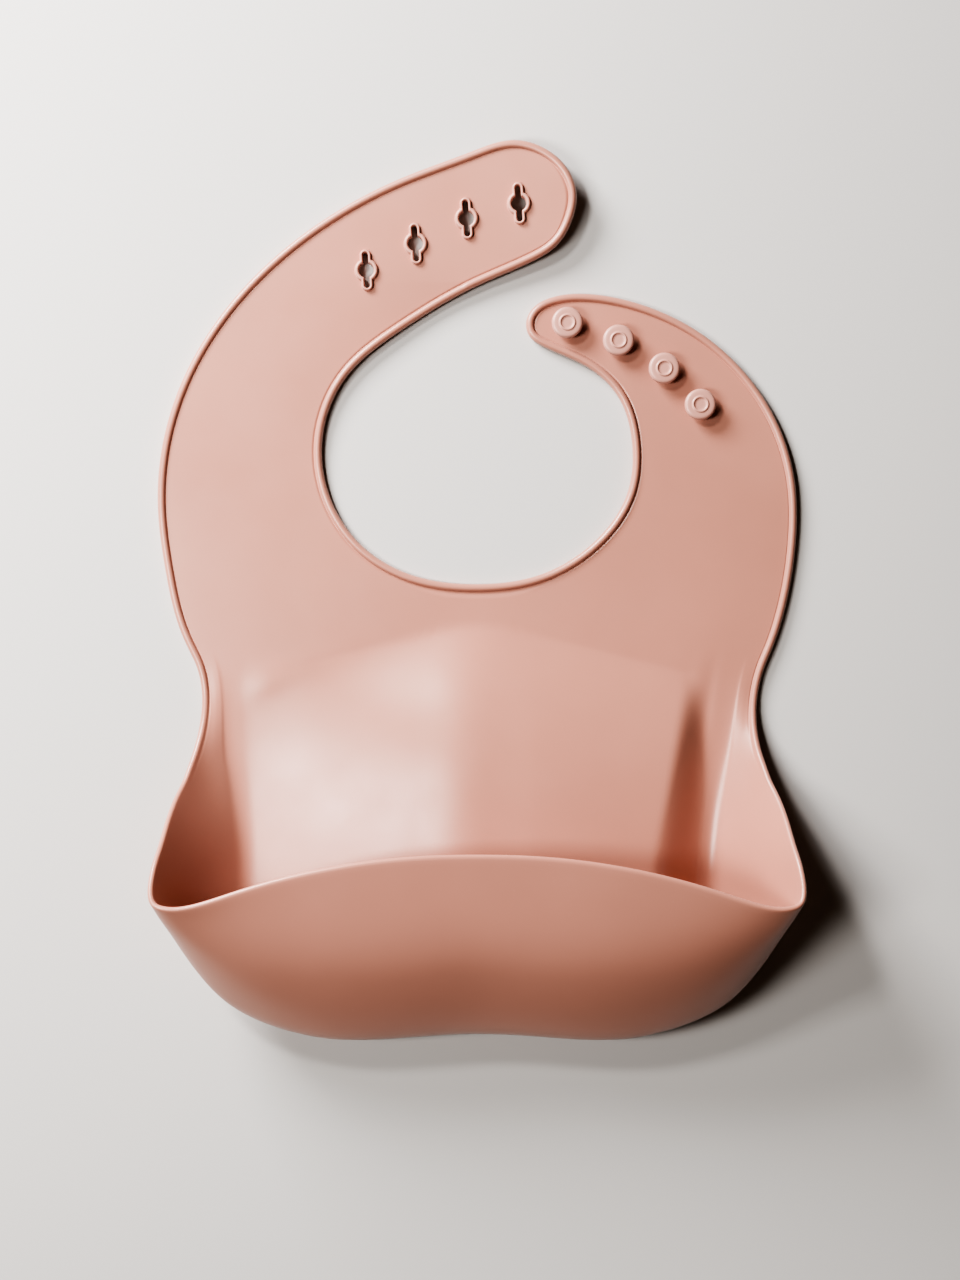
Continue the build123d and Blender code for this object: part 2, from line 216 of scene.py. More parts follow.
# Ribs. Each list pairs a place on the neck edge with a place on the outer edge, and gives
# the number of ribs up to the next pair.
long_keys = [((-22, 4.5), (-90.2, -41)), ((-38.4, 14), (-105.4, 14)),
             ((-46.5, 67), (-75, 102.6)), ((12, 106.2), (8, 148))]
short_keys = [((22, 4.7), (91.6, -41)), ((38.4, 14.8), (106.6, 14)),
              ((51.7, 38), (105.7, 38)), ((27, 79.0), (33, 98.2))]
long_counts = [44, 84, 84]
short_counts = [44, 22, 66]
tip_rows = 18
pocket_ribs = 252
panel_steps = 60                   # mesh steps from the neck bead to the crease
wall_steps = 36                    # and from the crease to the rim
plain_band = 4.0 * mm              # on a strap the last steps lie in a band beside the bead
tip_corner = 0.21                  # where a tip's arc begins, as a share of its way round


def paired(keys, counts):
    """Neck and outer border points of a strap's ribs, evenly spread between the pairs."""
    neck_marks = [border_index(*k[0]) for k in keys]
    outer_marks = [border_index(*k[1]) for k in keys]
    stops = np.concatenate([[0], np.cumsum(counts)])
    ribs = np.arange(stops[-1] + 1)
    return np.interp(ribs, stops, neck_marks), np.interp(ribs, stops, outer_marks), stops


def flat_ribs(neck, outer):
    """Flat mid-surface points of ribs: even steps to the plain band, then the band."""
    reach = np.linalg.norm(outer - neck, axis=-1, keepdims=True)
    foot = outer + (neck - outer) * np.minimum(plain_band / np.maximum(reach, 1e-9), 0.35)
    a = np.linspace(0, 1, panel_steps + 1)[None, :, None]
    b = np.linspace(0, 1, wall_steps + 1)[None, 1:, None]
    panel = neck[:, None] * (1 - a) + foot[:, None] * a
    band = foot[:, None] * (1 - b) + outer[:, None] * b
    return np.concatenate([panel, band], axis=1)


def tip_patch(first_rib, neck_from, outer_from):
    """Rows that carry a strap's ribs into its round tip: a patch between the last straight rib,
    the two borders and the tip's own arc, each point the sum of the two border blends less the
    blend of the four corners."""
    columns = first_rib.shape[0]
    middle = 0.5 * (neck_from + outer_from)
    span = neck_from - outer_from
    neck_to = middle + tip_corner * span
    outer_to = middle - tip_corner * span
    s = np.linspace(0, 1, tip_rows + 1)
    t = np.linspace(0, 1, columns)
    steps = np.linalg.norm(np.diff(first_rib, axis=0), axis=1)
    t_even = np.concatenate([[0], np.cumsum(steps)]) / steps.sum()
    neck_side = border_at(neck_from + (neck_to - neck_from) * s)
    outer_side = border_at(outer_from + (outer_to - outer_from) * s)
    arc = border_at(neck_to + (outer_to - neck_to) * t_even)
    s3, t3 = s[:, None, None], t_even[None, :, None]
    rows = (1 - t3) * neck_side[:, None] + t3 * outer_side[:, None]
    cols = (1 - s3) * first_rib[None] + s3 * arc[None]
    corners = ((1 - s3) * ((1 - t3) * neck_side[0] + t3 * outer_side[0])
               + s3 * ((1 - t3) * neck_side[-1] + t3 * outer_side[-1]))
    return rows + cols - corners


def with_height(flat):
    """Flat points brought to the height of the sheet's middle."""
    return np.concatenate([flat, (half_sheet + settle(flat[..., 0], flat[..., 1]))[..., None]], -1)


# The pocket's ribs run from the neck edge down the panel, turn at the crease and go up the wall.
# The wall is a surface over (run along the outlines, height): cubic splines through the outlines
# one way and through the heights the other way.
neck_a, outer_a, long_stops = paired(long_keys, long_counts)
neck_b, outer_b, short_stops = paired(short_keys, short_counts)


def spline_at(knots, values, where):
    """Cubic spline through values at knots, one value array per knot, read at given places."""
    n = len(knots)
    gaps = np.diff(knots)
    flat = values.reshape(n, -1)
    system = np.eye(n)
    right = np.zeros_like(flat)
    inner = np.arange(1, n - 1)
    system[inner, inner - 1] = gaps[:-1]
    system[inner, inner] = 2 * (gaps[:-1] + gaps[1:])
    system[inner, inner + 1] = gaps[1:]
    right[1:-1] = 6 * np.diff(np.diff(flat, axis=0) / gaps[:, None], axis=0)
    bends = np.linalg.solve(system, right)
    k = np.clip(np.searchsorted(knots, where, side="right") - 1, 0, n - 2)
    h = gaps[k][:, None]
    a = (knots[k + 1] - where)[:, None] / h
    b = 1 - a
    out = a * flat[k] + b * flat[k + 1] + ((a**3 - a) * bends[k] + (b**3 - b) * bends[k + 1]) * h * h / 6
    return out.reshape((len(where),) + values.shape[1:])


left_outlines = wall_outlines[:, :-1] * (-1, 1)
whole_outlines = np.concatenate([left_outlines, wall_outlines[:, ::-1]], axis=1)
steps = np.linalg.norm(np.diff(whole_outlines, axis=1), axis=2).mean(axis=0)
outline_run = np.concatenate([[0], np.cumsum(steps)])
fine_heights = np.linspace(0, wall_levels[-1], 221)
fine_run = np.linspace(0, outline_run[-1], 1601)
by_run = spline_at(outline_run, np.swapaxes(whole_outlines, 0, 1), fine_run)
by_height = spline_at(wall_levels, np.swapaxes(by_run, 0, 1), fine_heights)
outside = np.concatenate(
    [by_height, np.broadcast_to(fine_heights[:, None, None], by_height.shape[:2] + (1,))], -1)
outside = np.swapaxes(outside, 0, 1)
wall_up = np.cross(np.gradient(outside, axis=0), np.gradient(outside, axis=1))
wall_up = unit(wall_up)
wall_up *= np.sign(np.sum(wall_up * (outside - (0, -0.10, 0.02)), axis=-1, keepdims=True).mean())
middle_wall = outside - wall_up * half_sheet

# The rim stands at the gusset's height beside the mouth and at full height round the front.
gusset_top = np.interp(-outside[..., 1], -rim_heights[:, 0], rim_heights[:, 1])
stands = np.argmax(outside[..., 2] >= gusset_top, axis=1)
stands = np.where((outside[..., 2] >= gusset_top).any(axis=1), stands, len(fine_heights) - 1)
corner_run = np.interp(np.abs(fine_run - outline_run[-1] / 2),
                       [0, outline_run[-1] / 2 - outline_run[5], outline_run[-1] / 2 - outline_run[4],
                        outline_run[-1]], [1, 1, 0, 0])
corner_run = eased(corner_run)
rim_level = fine_heights[stands] * (1 - corner_run) + fine_heights[-1] * corner_run
evening = np.hanning(41)
evening /= evening.sum()
rim_level = np.convolve(np.pad(rim_level, len(evening) // 2, mode="edge"), evening, mode="valid")

left_side = slice(0, len(fine_run) // 2 + 1)
gusset_start_y = -40 * mm
first_run = np.interp(-gusset_start_y, -outside[left_side, 0, 1], fine_run[left_side])
rib_run = np.linspace(first_run, outline_run[-1] - first_run, pocket_ribs + 1)
rib_place = rib_run / fine_run[-1] * (len(fine_run) - 1)


def wall_point(place, height):
    """Middle of the wall at fractional places in the run and heights: the four nearest points
    of the fine grid weighed by nearness."""
    level = np.clip(height / fine_heights[1], 0, len(fine_heights) - 1.001)
    i, j = np.floor(place).astype(int), np.floor(level).astype(int)
    i = np.minimum(i, len(fine_run) - 2)
    p, q = (place - i)[..., None], (level - j)[..., None]
    return ((1 - p) * (1 - q) * middle_wall[i, j] + p * (1 - q) * middle_wall[i + 1, j]
            + (1 - p) * q * middle_wall[i, j + 1] + p * q * middle_wall[i + 1, j + 1])


rib_rim = np.interp(rib_place, np.arange(len(fine_run)), rim_level)
climb_steps = 160
share = np.linspace(0, 1, climb_steps)[None, :]
climb = wall_point(np.broadcast_to(rib_place[:, None], (pocket_ribs + 1, climb_steps)),
                   half_sheet + (rib_rim[:, None] - half_sheet) * share)
climb_run = np.concatenate([np.zeros((pocket_ribs + 1, 1)),
                            np.cumsum(np.linalg.norm(np.diff(climb, axis=1), axis=2), axis=1)], axis=1)
wall_length = np.maximum(climb_run[:, -1] - bead_width, 1.2 * mm)
foot = climb[:, 0, :2]
neck_c = border_at(np.linspace(neck_a[0], neck_b[0], pocket_ribs + 1))
a = np.linspace(0, 1, panel_steps + 1)[None, :, None]
panel = with_height(neck_c[:, None] * (1 - a) + foot[:, None] * a)
wanted = wall_length[:, None] * np.linspace(0, 1, wall_steps + 1)[None, 1:]
apart = np.arange(pocket_ribs + 1)[:, None]    # metres between ribs, so one run holds them all
wall = np.stack([np.interp((wanted + apart).ravel(), (climb_run + apart).ravel(),
                           climb[..., k].ravel()).reshape(wanted.shape) for k in range(3)], -1)
pocket = np.concatenate([panel, wall], axis=1)


def softened(points, lines, passes):
    """Points of a grid evened out along its ribs near the crease: each becomes the middle of
    itself and the mean of its two neighbours, several times over."""
    out = points.copy()
    weight = np.zeros(points.shape[1])
    weight[lines] = 1
    weight = weight[None, :, None]
    for _ in range(passes):
        mean = out.copy()
        mean[:, 1:-1] = 0.5 * out[:, 1:-1] + 0.25 * (out[:, :-2] + out[:, 2:])
        out = out * (1 - weight) + mean * weight
    return out


pocket = softened(pocket, slice(panel_steps - 4, panel_steps + 6), 10)

long_flat = flat_ribs(border_at(neck_a), border_at(outer_a))
short_flat = flat_ribs(border_at(neck_b), border_at(outer_b))
long_tip = tip_patch(long_flat[-1], neck_a[-1], outer_a[-1])
short_tip = tip_patch(short_flat[-1], neck_b[-1], outer_b[-1])
long_half = with_height(np.concatenate([long_flat, long_tip[1:]]))
short_half = with_height(np.concatenate([short_flat, short_tip[1:]]))
ease = 14                          # ribs over which the side turns into the gusset's top
skin = np.concatenate([long_half[::-1][:-1], pocket, short_half[1:]])
for at_rib in (len(long_half) - 1, len(long_half) - 1 + pocket_ribs):
    lo, hi = at_rib - ease, at_rib + ease
    u = np.linspace(0, 1, hi - lo + 1)[:, None, None]
    step_in = (skin[lo] - skin[lo - 1])[None] * (hi - lo)
    step_out = (skin[hi + 1] - skin[hi])[None] * (hi - lo)
    skin[lo:hi + 1] = ((2 * u**3 - 3 * u**2 + 1) * skin[lo] + (u**3 - 2 * u**2 + u) * step_in
                       + (3 * u**2 - 2 * u**3) * skin[hi] + (u**3 - u**2) * step_out)
    # The panel's part of these ribs goes back to the sheet's own height.
    lying = half_sheet + settle(skin[lo:hi + 1, :, 0], skin[lo:hi + 1, :, 1])
    free = eased((np.arange(skin.shape[1]) - (panel_steps - 16)) / 12)
    skin[lo:hi + 1, :, 2] = lying * (1 - free) + skin[lo:hi + 1, :, 2] * free

# Where each piece of the skin begins and ends, as rib numbers.
last = len(skin) - 1
long_cut = len(long_half) - 1 - long_stops[2]
left_cut = len(long_half) - 1 - long_stops[1]
right_cut = len(long_half) - 1 + pocket_ribs + short_stops[1]
short_cut = len(long_half) - 1 + pocket_ribs + short_stops[2]
side_rib = len(long_half) - 1

run_along = unit(np.gradient(skin, axis=0))
run_across = unit(np.gradient(skin, axis=1))
up = unit(np.cross(run_across, run_along))
if up[side_rib, 5, 2] < 0:
    up = -up

# Edge profiles, as (outwards, upwards) from the middle of the sheet's edge, from the top face
# round to the underside: the rounded bead of the flat edges and the plain rim of the pocket.
bead_profile = mm * np.array([
    (0.00, 0.95), (0.10, 0.80), (0.28, 0.78), (0.42, 1.05), (0.55, 1.45), (0.80, 1.78),
    (1.20, 1.98), (1.65, 2.04), (2.10, 1.95), (2.50, 1.68), (2.80, 1.25), (2.96, 0.70),
    (3.00, 0.10), (2.92, -0.40), (2.65, -0.78), (2.20, -0.93), (1.40, -0.95), (0.00, -0.95)])
rim_profile = mm * np.array([
    (0.00, 0.95), (0.40, 0.95), (0.80, 0.95), (1.20, 0.95), (1.60, 0.95), (2.00, 0.94),
    (2.30, 0.90), (2.55, 0.79), (2.74, 0.62), (2.88, 0.42), (2.97, 0.20), (3.00, 0.00),
    (2.97, -0.22), (2.86, -0.46), (2.66, -0.70), (2.35, -0.88), (1.60, -0.95), (0.00, -0.95)])
# The bead fades into the plain rim where the gussets begin.
fade_before, fade_ribs = 16, 40
rib_numbers = np.arange(last + 1)
left_fade = (rib_numbers - (side_rib - fade_before)) / fade_ribs
right_fade = ((side_rib + pocket_ribs + fade_before) - rib_numbers) / fade_ribs
fade = eased(np.minimum(left_fade, right_fade))


def edge_band(middle, outwards, upwards, plain):
    """Edge profile carried along an edge: bead where plain is 0, plain rim where it is 1."""
    shape = bead_profile[None] * (1 - plain[:, None, None]) + rim_profile[None] * plain[:, None, None]
    return (middle[:, None] + outwards[:, None] * shape[..., :1] + upwards[:, None] * shape[..., 1:])


def skin_piece(name, first, final, tip=None):
    """One piece of the skin from rib to rib: top and underside, an edge band on each side, and
    either a round tip or a flat cut at each end. The shell is closed."""
    ribs = slice(first, final + 1)
    middle, normal = skin[ribs], up[ribs]
    along = run_along[ribs]
    top = middle + normal * half_sheet
    under = middle - normal * half_sheet
    across = run_across[ribs]

    def outward_of(edge_middle, edge_normal, edge_run_dir, away):
        side = unit(np.cross(edge_run_dir, edge_normal))
        return side * np.sign(np.sum(side * away, axis=-1, keepdims=True))

    neck_out = outward_of(middle[:, 0], normal[:, 0], along[:, 0], -across[:, 0])
    outer_out = outward_of(middle[:, -1], normal[:, -1], along[:, -1], across[:, -1])
    neck_band = edge_band(middle[:, 0], neck_out, normal[:, 0], np.zeros(len(middle)))
    outer_band = edge_band(middle[:, -1], outer_out, normal[:, -1], fade[ribs])
    loop = np.concatenate(
        [top, outer_band[:, 1:-1], under[:, ::-1], neck_band[:, ::-1][:, 1:-1]], axis=1)
    rows, size = loop.shape[:2]
    points = loop.reshape(-1, 3)
    grid = np.arange(rows * size).reshape(rows, size)
    ring = np.concatenate([grid, grid[:, :1]], axis=1)
    quads = np.stack([ring[:-1, :-1], ring[1:, :-1], ring[1:, 1:], ring[:-1, 1:]], -1).reshape(-1, 4)
    faces = quads.tolist()
    columns = top.shape[1]
    band_size = outer_band.shape[1] - 2
    under_columns = np.arange(columns + band_size, 2 * columns + band_size)[::-1]
    for row, is_tip in ((0, tip == "first"), (rows - 1, tip == "final")):
        if is_tip:
            run = unit(np.gradient(middle[row], axis=0))
            away = middle[row] - middle[1 if row == 0 else row - 1]
            out = outward_of(middle[row], normal[row], run, away)
            out[0], out[-1] = neck_out[row], outer_out[row]
            band = edge_band(middle[row], out, normal[row], np.zeros(columns))
            base = len(points)
            points = np.concatenate([points, band.reshape(-1, 3)])
            cells = base + np.arange(band.shape[0] * band.shape[1]).reshape(band.shape[:2])
            patch = np.stack([cells[:-1, :-1], cells[1:, :-1], cells[1:, 1:], cells[:-1, 1:]], -1)
            faces += patch.reshape(-1, 4).tolist()
        else:
            tops, unders = grid[row, :columns], grid[row, under_columns]
            faces += np.stack([tops[:-1], tops[1:], unders[1:], unders[:-1]], -1).tolist()
            outer_ids = grid[row, columns - 1:columns + band_size + 1]
            neck_ids = np.concatenate([grid[row, 2 * columns + band_size - 1:], grid[row, :1]])
            faces += [outer_ids.tolist(), neck_ids.tolist()]
    mesh = bpy.data.meshes.new(name)
    mesh.from_pydata(points.tolist(), [], faces)
    return closed_object(name, mesh)


def closed_object(name, mesh, weld=1e-6):
    """Object of a mesh whose doubled points are merged and whose faces all point outwards."""
    work = bmesh.new()
    work.from_mesh(mesh)
    bmesh.ops.remove_doubles(work, verts=work.verts, dist=weld)
    bmesh.ops.dissolve_degenerate(work, edges=work.edges, dist=weld)
    bmesh.ops.recalc_face_normals(work, faces=work.faces)
    work.to_mesh(mesh)
    work.free()
    mesh.shade_smooth()
    mesh.set_sharp_from_angle(angle=math.radians(70))
    obj = bpy.data.objects.new(name, mesh)
    bpy.context.scene.collection.objects.link(obj)
    return obj


bib_panel_and_pocket = skin_piece("bib_panel_and_pocket", left_cut, right_cut)


def silicone_surface_group():
    """Shared effect of moulded silicone: a faint cloudy change of tint, fine dust, and a very
    fine grain from the mould. It puts out colour, roughness and a height."""
    group = bpy.data.node_groups.new("moulded_silicone_surface", "ShaderNodeTree")
    face = group.interface
    for label, kind, value in (("Tint", "NodeSocketColor", (0.6, 0.3, 0.24, 1)),
                               ("Cloud", "NodeSocketFloat", 0.05), ("Dust", "NodeSocketFloat", 0.1),
                               ("Shine", "NodeSocketFloat", 0.45)):
        face.new_socket(name=label, in_out="INPUT", socket_type=kind).default_value = value
    for label, kind in (("Color", "NodeSocketColor"), ("Roughness", "NodeSocketFloat"),
                        ("Height", "NodeSocketFloat")):
        face.new_socket(name=label, in_out="OUTPUT", socket_type=kind)
    nodes, link = group.nodes, group.links.new
    ins, outs = nodes.new("NodeGroupInput"), nodes.new("NodeGroupOutput")
    place = nodes.new("ShaderNodeTexCoord")

    def noise(scale, detail, rough=0.5):
        n = nodes.new("ShaderNodeTexNoise")
        n.inputs["Scale"].default_value = scale
        n.inputs["Detail"].default_value = detail
        n.inputs["Roughness"].default_value = rough
        link(place.outputs["Object"], n.inputs["Vector"])
        return n.outputs["Fac"]

    def spread(value, low, high, to_low, to_high):
        r = nodes.new("ShaderNodeMapRange")
        r.inputs["From Min"].default_value = low
        r.inputs["From Max"].default_value = high
        r.inputs["To Min"].default_value = to_low
        r.inputs["To Max"].default_value = to_high
        link(value, r.inputs["Value"])
        return r.outputs["Result"]

    def maths(operation, first, second):
        m = nodes.new("ShaderNodeMath")
        m.operation = operation
        for k, v in enumerate((first, second)):
            if isinstance(v, (int, float)):
                m.inputs[k].default_value = v
            else:
                link(v, m.inputs[k])
        return m.outputs[0]

    cloud = spread(noise(22, 3), 0.3, 0.7, -1, 1)
    specks = spread(noise(2600, 2, 0.6), 0.68, 0.78, 0, 1)
    grain = noise(5200, 3, 0.7)
    swirl = spread(noise(60, 4), 0.3, 0.7, -0.5, 0.5)
    shade = maths("ADD", 1.0, maths("MULTIPLY", cloud, ins.outputs["Cloud"]))
    tinted = nodes.new("ShaderNodeMix")
    tinted.data_type = "RGBA"
    tinted.blend_type = "MULTIPLY"
    tinted.inputs[0].default_value = 1.0
    link(ins.outputs["Tint"], tinted.inputs[6])
    grey = nodes.new("ShaderNodeCombineColor")
    for k in range(3):
        link(shade, grey.inputs[k])
    link(grey.outputs[0], tinted.inputs[7])
    dusted = nodes.new("ShaderNodeMix")
    dusted.data_type = "RGBA"
    link(maths("MULTIPLY", specks, ins.outputs["Dust"]), dusted.inputs[0])
    link(tinted.outputs[2], dusted.inputs[6])
    dusted.inputs[7].default_value = (0.86, 0.74, 0.69, 1)
    link(dusted.outputs[2], outs.inputs["Color"])
    link(maths("ADD", ins.outputs["Shine"], maths("MULTIPLY", swirl, 0.06)), outs.inputs["Roughness"])
    link(maths("ADD", grain, maths("MULTIPLY", specks, 0.6)), outs.inputs["Height"])
    return group


surface_group = silicone_surface_group()


def silicone(name, tint, cloud, dust, shine, grain_depth):
    """Silicone rubber: soft satin gloss with a faint bloom, over the shared surface effect."""
    material = bpy.data.materials.new(name)
    material.use_nodes = True
    nodes, link = material.node_tree.nodes, material.node_tree.links.new
    shader = nodes["Principled BSDF"]
    effect = nodes.new("ShaderNodeGroup")
    effect.node_tree = surface_group
    effect.inputs["Tint"].default_value = tint
    effect.inputs["Cloud"].default_value = cloud
    effect.inputs["Dust"].default_value = dust
    effect.inputs["Shine"].default_value = shine
    bump = nodes.new("ShaderNodeBump")
    bump.inputs["Strength"].default_value = 0.25
    bump.inputs["Distance"].default_value = grain_depth
    link(effect.outputs["Color"], shader.inputs["Base Color"])
    link(effect.outputs["Roughness"], shader.inputs["Roughness"])
    link(effect.outputs["Height"], bump.inputs["Height"])
    link(bump.outputs["Normal"], shader.inputs["Normal"])
    shader.inputs["IOR"].default_value = 1.43
    shader.inputs["Specular IOR Level"].default_value = 0.75
    shader.inputs["Sheen Weight"].default_value = 0.12
    shader.inputs["Sheen Roughness"].default_value = 0.5
    return material


skin_tint = (0.505, 0.237, 0.175, 1)
skin_silicone = silicone("dusty_pink_silicone", skin_tint, 0.035, 0.10, 0.32, 0.00004)
bib_panel_and_pocket.data.materials.append(skin_silicone)
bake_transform(bib_panel_and_pocket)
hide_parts("chest_panel", "pocket_back", "pocket_base", "pocket_front_wall",
            "left_gusset", "right_gusset", "left_pocket_corner", "right_pocket_corner",
            "neck_bead", "left_side_bead", "right_side_bead")


# ---------------------------------------------------------------------------
# Long strap over the left shoulder: the same sheet and bead, moulded in one with the panel.
# ---------------------------------------------------------------------------
long_strap_over_shoulder = skin_piece("long_strap_over_shoulder", long_cut, left_cut)
long_strap_over_shoulder.data.materials.append(skin_silicone)
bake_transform(long_strap_over_shoulder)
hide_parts("long_strap_root", "long_root_neck_bead", "long_root_outer_bead")


# ---------------------------------------------------------------------------
# Keyhole end of the long strap: the strap curls behind the neck and ends in a round tip. Four
# keyholes go through it, each a round hole with a slot across it, and each is edged by a raised
# collar moulded with the strap.
# ---------------------------------------------------------------------------
long_strap_keyhole_end = skin_piece("long_strap_keyhole_end", 0, long_cut, tip="first")
long_strap_keyhole_end.data.materials.append(skin_silicone)
keyhole_places = mm * np.array([(-37.0, 105.9), (-20.6, 114.7), (-3.6, 122.9), (13.8, 127.6)])
keyhole_lean = math.radians(4.0)
hole_radius = 2.5 * mm
slot_half_width, slot_half_length = 0.9 * mm, 5.95 * mm
ring_wall = 1.35 * mm              # collar round the hole
collar_wall = 0.95 * mm            # collar beside the slot


def keyhole_outline(share):
    """Keyhole outline, a circle with a round-ended slot across it, grown by a share of the
    collar's wall. One quarter runs along the circle, up the slot's side and round its end; the
    others mirror it."""
    circle = hole_radius + ring_wall * share
    wide, tall = slot_half_width + collar_wall * share, slot_half_length + collar_wall * share
    meet = math.acos(wide / circle)
    turn = np.linspace(0, meet, 16)
    arc = circle * np.stack([np.cos(turn), np.sin(turn)], -1)
    side_y = np.linspace(circle * math.sin(meet), tall - wide, 7)[1:]
    side = np.stack([np.full(len(side_y), wide), side_y], -1)
    turn = np.linspace(0, math.pi / 2, 9)[1:]
    end = np.stack([wide * np.cos(turn), tall - wide + wide * np.sin(turn)], -1)
    quarter = np.concatenate([arc, side, end])
    half = np.concatenate([quarter, (quarter * (-1, 1))[::-1][1:]])
    whole = np.concatenate([half, (half * (1, -1))[::-1][1:-1]])
    c, s = math.cos(keyhole_lean), math.sin(keyhole_lean)
    return np.stack([whole[:, 0] * c - whole[:, 1] * s, whole[:, 0] * s + whole[:, 1] * c], -1)


def carried_rings(name, rings):
    """Closed shell through a loop of closed rings of points; the last ring joins the first."""
    stack = np.stack(rings, axis=1)
    n, m = stack.shape[:2]
    grid = np.arange(n * m).reshape(n, m)
    nxt = np.roll(grid, -1, axis=0)
    quads = np.stack([grid, nxt, np.roll(nxt, -1, axis=1), np.roll(grid, -1, axis=1)], -1).reshape(-1, 4)
    mesh = bpy.data.meshes.new(name)
    mesh.from_pydata(stack.reshape(-1, 3).tolist(), [], quads.tolist())
    return closed_object(name, mesh)


def cut_through(piece, outline):
    """Cuts an outline straight through a piece, from below the table to well above it, and keeps
    the result as the piece's own mesh."""
    sides = len(outline)
    low = np.concatenate([outline, np.full((sides, 1), -2 * mm)], -1)
    high = low + (0, 0, 20 * mm)
    wall_faces = [(k, (k + 1) % sides, (k + 1) % sides + sides, k + sides) for k in range(sides)]
    caps = [tuple(range(sides)), tuple(range(sides, 2 * sides))]
    body = bpy.data.meshes.new("keyhole_cutter")
    body.from_pydata(np.concatenate([low, high]).tolist(), [], wall_faces + caps)
    tool = closed_object("keyhole_cutter", body)
    cut = piece.modifiers.new("keyhole", "BOOLEAN")
    cut.operation = "DIFFERENCE"
    cut.solver = "EXACT"
    cut.object = tool
    bpy.context.view_layer.update()
    evaluated = piece.evaluated_get(bpy.context.evaluated_depsgraph_get())
    done = bpy.data.meshes.new_from_object(evaluated)
    piece.modifiers.clear()
    piece.data = done
    bpy.data.objects.remove(tool)


# Collar section as (share from the hole's wall to the collar's outside, height in millimetres),
# going round.
collar_section = [
    (0.0, 0.02), (0.0, 1.2), (0.0, 2.5), (0.05, 2.8), (0.18, 3.05), (0.36, 3.18), (0.56, 3.2),
    (0.76, 3.10), (0.91, 2.88), (1.0, 2.55), (1.02, 2.15), (1.1, 1.93), (1.25, 1.75),
    (1.0, 1.0), (0.9, 0.02)]
window_share = 0.5                 # the strap's window ends inside the collar's wall
collars = []
for number, centre in enumerate(keyhole_places, start=1):
    rings = []
    for share, height in collar_section:
        ring = centre + keyhole_outline(share)
        rise = settle(ring[:, 0], ring[:, 1]) + height * mm
        rings.append(np.concatenate([ring, rise[:, None]], -1))
    collars.append(carried_rings(f"keyhole_collar_{number}_skin", rings))
    cut_through(long_strap_keyhole_end, centre + keyhole_outline(window_share))
long_strap_keyhole_end.data.shade_smooth()
long_strap_keyhole_end.data.set_sharp_from_angle(angle=math.radians(70))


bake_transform(long_strap_keyhole_end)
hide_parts("long_strap_end", "long_end_bead")
# The collars get a lighter, paler tint than the strap, though the silicone is one colour: a painted
# highlight for the light that the raised collars catch.
collar_silicone_painted_highlight = silicone("collar_silicone_painted_highlight", (0.56, 0.28, 0.215, 1), 0.03, 0.06, 0.38, 0.00003)
for number, collar in enumerate(collars, start=1):
    collar.data.materials.append(collar_silicone_painted_highlight)
    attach(collar, "long_strap_tip")
    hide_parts(f"keyhole_collar_{number}")


# ---------------------------------------------------------------------------
# Short strap: goes over the right shoulder and meets the long one behind the neck. It has the
# same sheet and bead.
# ---------------------------------------------------------------------------
short_strap_over_shoulder = skin_piece("short_strap_over_shoulder", right_cut, short_cut)
short_strap_button_end = skin_piece("short_strap_button_end", short_cut, last, tip="final")
for piece in (short_strap_over_shoulder, short_strap_button_end):
    piece.data.materials.append(skin_silicone)
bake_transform(short_strap_over_shoulder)
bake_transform(short_strap_button_end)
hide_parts("short_strap_root", "short_root_neck_bead",
            "short_root_outer_bead")
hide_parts("short_strap_end", "short_end_bead")


# ---------------------------------------------------------------------------
# Buttons: four mushroom buttons on the short strap, a stem and a flat round head with a
# rounded rim and a plain raised ring, moulded with the strap.
# ---------------------------------------------------------------------------
button_places = mm * np.array([(29.9, 88.1), (46.9, 82.2), (62.1, 72.9), (74.1, 60.9)])
# Half section of a button as (radius, height), from the strap's top up to the middle of the head.
button_section = mm * np.array([
    (3.4, 1.75), (3.0, 1.93), (2.5, 2.2), (2.2, 2.7), (2.2, 3.8), (2.35, 4.15), (2.75, 4.38),
    (3.5, 4.42), (4.4, 4.45), (4.85, 4.6), (5.12, 4.9), (5.2, 5.3), (5.18, 5.75), (5.02, 6.15),
    (4.7, 6.43), (4.2, 6.56), (3.4, 6.58), (2.95, 6.58), (2.8, 6.62), (2.7, 6.78), (2.55, 6.87),
    (2.4, 6.88), (2.25, 6.86), (2.12, 6.76), (2.04, 6.6), (1.85, 6.5), (1.2, 6.48), (0.6, 6.48)])
button_sides = 72
buttons = []
turn = np.linspace(0, 2 * math.pi, button_sides, endpoint=False)
for number, (x, y) in enumerate(button_places, start=1):
    low = settle(x, y)
    radius, height = button_section[:, 0], button_section[:, 1]
    ring = np.stack([x + radius[None] * np.cos(turn)[:, None], y + radius[None] * np.sin(turn)[:, None],
                     np.broadcast_to(height + low, (len(turn), len(radius)))], -1)
    n, m = ring.shape[:2]
    grid = np.arange(n * m).reshape(n, m)
    nxt = np.roll(grid, -1, axis=0)
    quads = np.stack([grid[:, :-1], nxt[:, :-1], nxt[:, 1:], grid[:, 1:]], -1).reshape(-1, 4)
    button_mesh = bpy.data.meshes.new(f"button_{number}_skin")
    button_mesh.from_pydata(ring.reshape(-1, 3).tolist(), [],
                            quads.tolist() + [grid[:, 0].tolist(), grid[:, -1].tolist()])
    buttons.append(closed_object(f"button_{number}_skin", button_mesh))
# The buttons get a lighter, paler tint than the strap, though the silicone is one colour: a painted
# highlight for the light that the raised heads catch.
button_silicone_painted_highlight = silicone("button_silicone_painted_highlight", (0.55, 0.285, 0.228, 1), 0.03, 0.05, 0.38, 0.00003)
